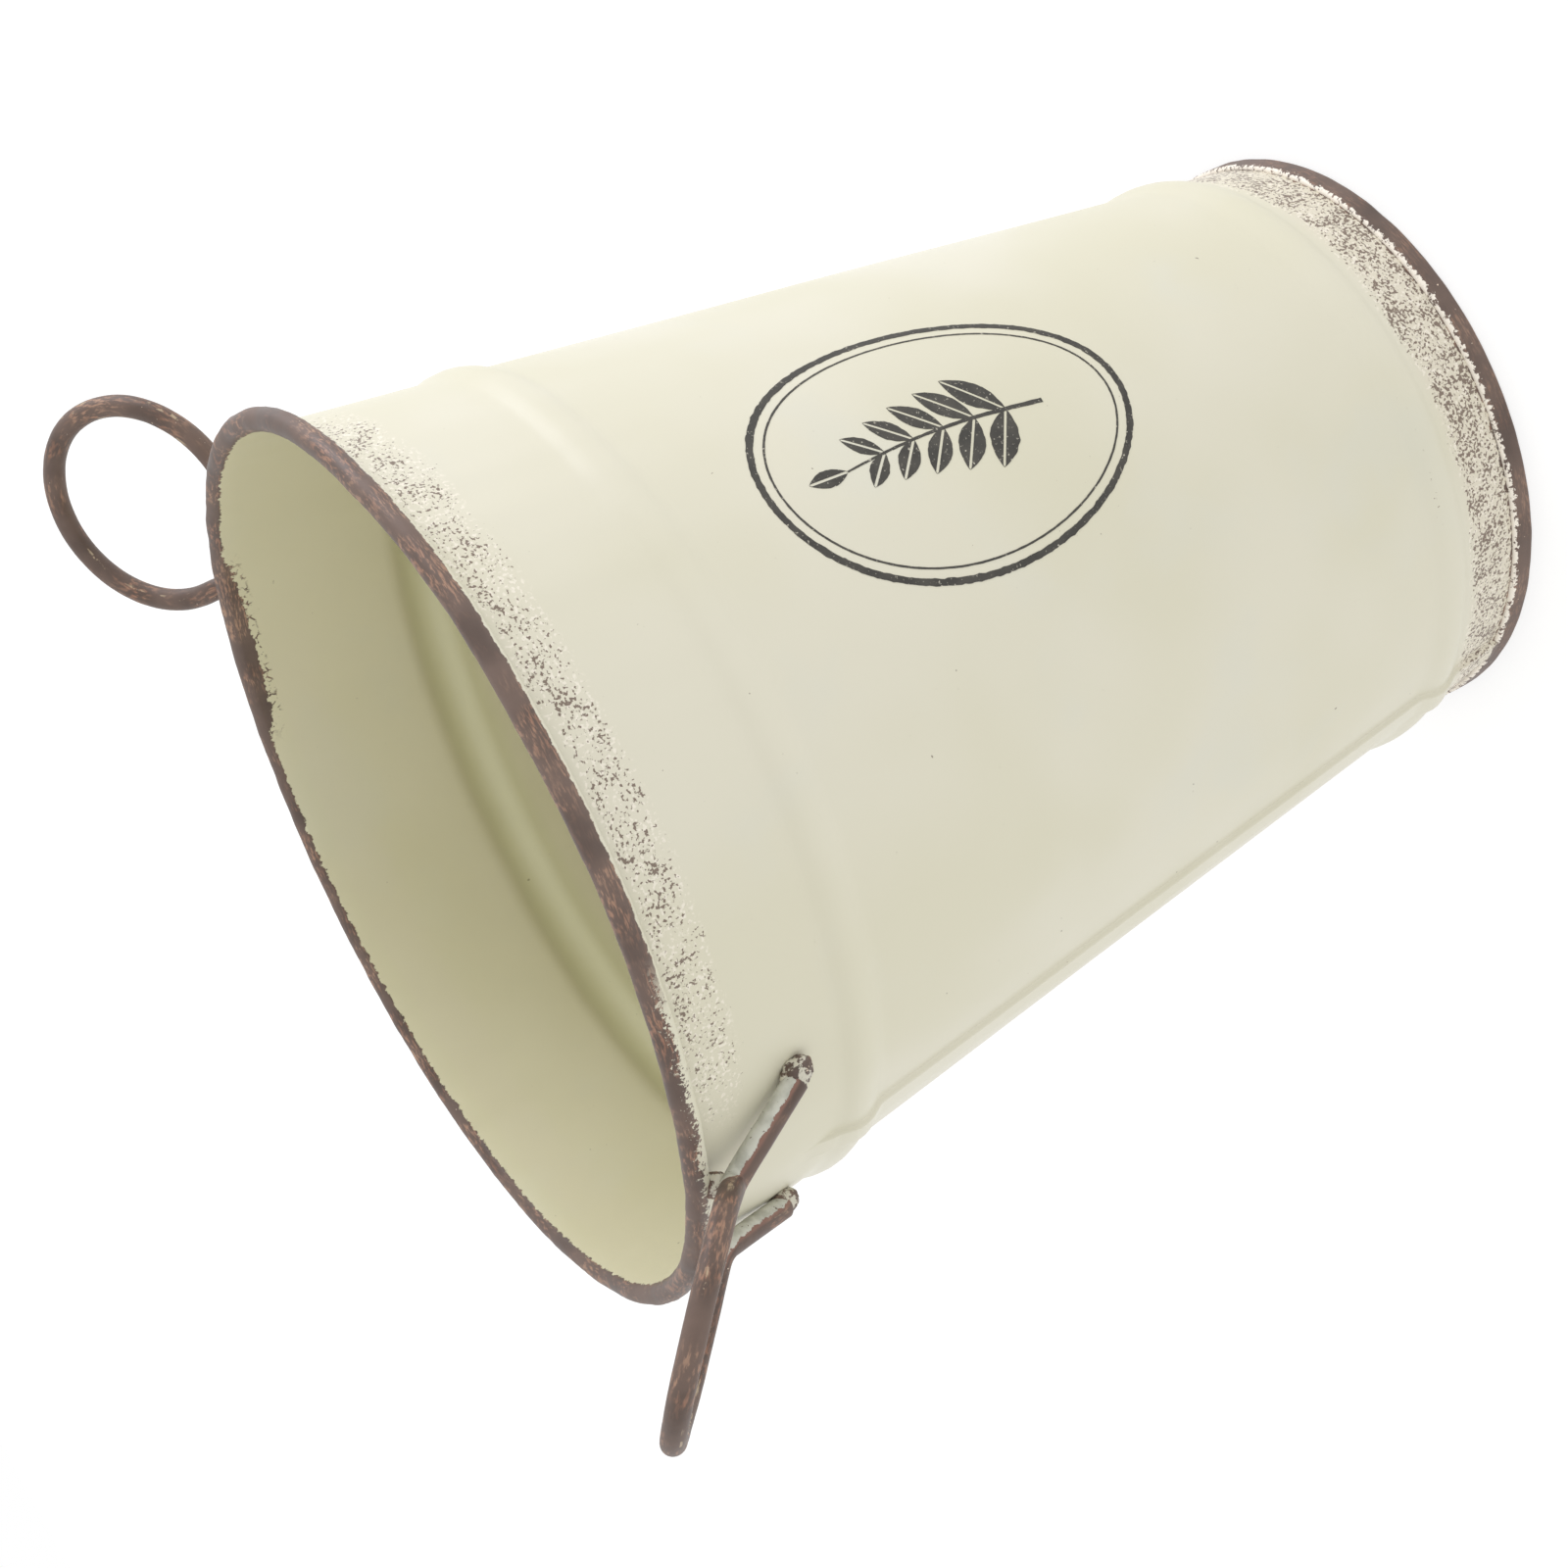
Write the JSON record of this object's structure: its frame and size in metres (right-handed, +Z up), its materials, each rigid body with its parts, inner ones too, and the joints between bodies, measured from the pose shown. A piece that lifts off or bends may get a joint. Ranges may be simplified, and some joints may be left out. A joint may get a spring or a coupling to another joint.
{
  "type": "bucket",
  "caption": "Tapered sheet-metal bucket with pressed ribs, wired rim, seamed base and fixed wire loop handles, in distressed cream enamel with brown edges.",
  "frame": {"origin": "on the floor under the centre of the base", "axes": "+Z up along the bucket's axis, +X through the right handle and -X through the left handle, -Y is the front with the printed badge"},
  "size_m": [0.2214, 0.16, 0.2123],
  "materials": {
    "cream_enamel": "semi-gloss cream enamel paint, sponged brown at rim and foot",
    "brown_seam": "dark brown paint rubbed through to copper tones",
    "handle_wire": "dark brown paint with copper scratches and cream overspray on the legs",
    "weld_bead": "rough weld bead, painted over",
    "bare_wire": "drawn steel wire"
  },
  "bodies": {
    "root": {"wall_sheet": "cream_enamel", "rim_wire": "bare_wire", "base_plate": "brown_seam", "handle_left": "handle_wire", "handle_right": "handle_wire", "left_foot_welds": "weld_bead", "right_foot_welds": "weld_bead", "left_rim_welds": "weld_bead", "right_rim_welds": "weld_bead"}
  },
  "joints": []
}
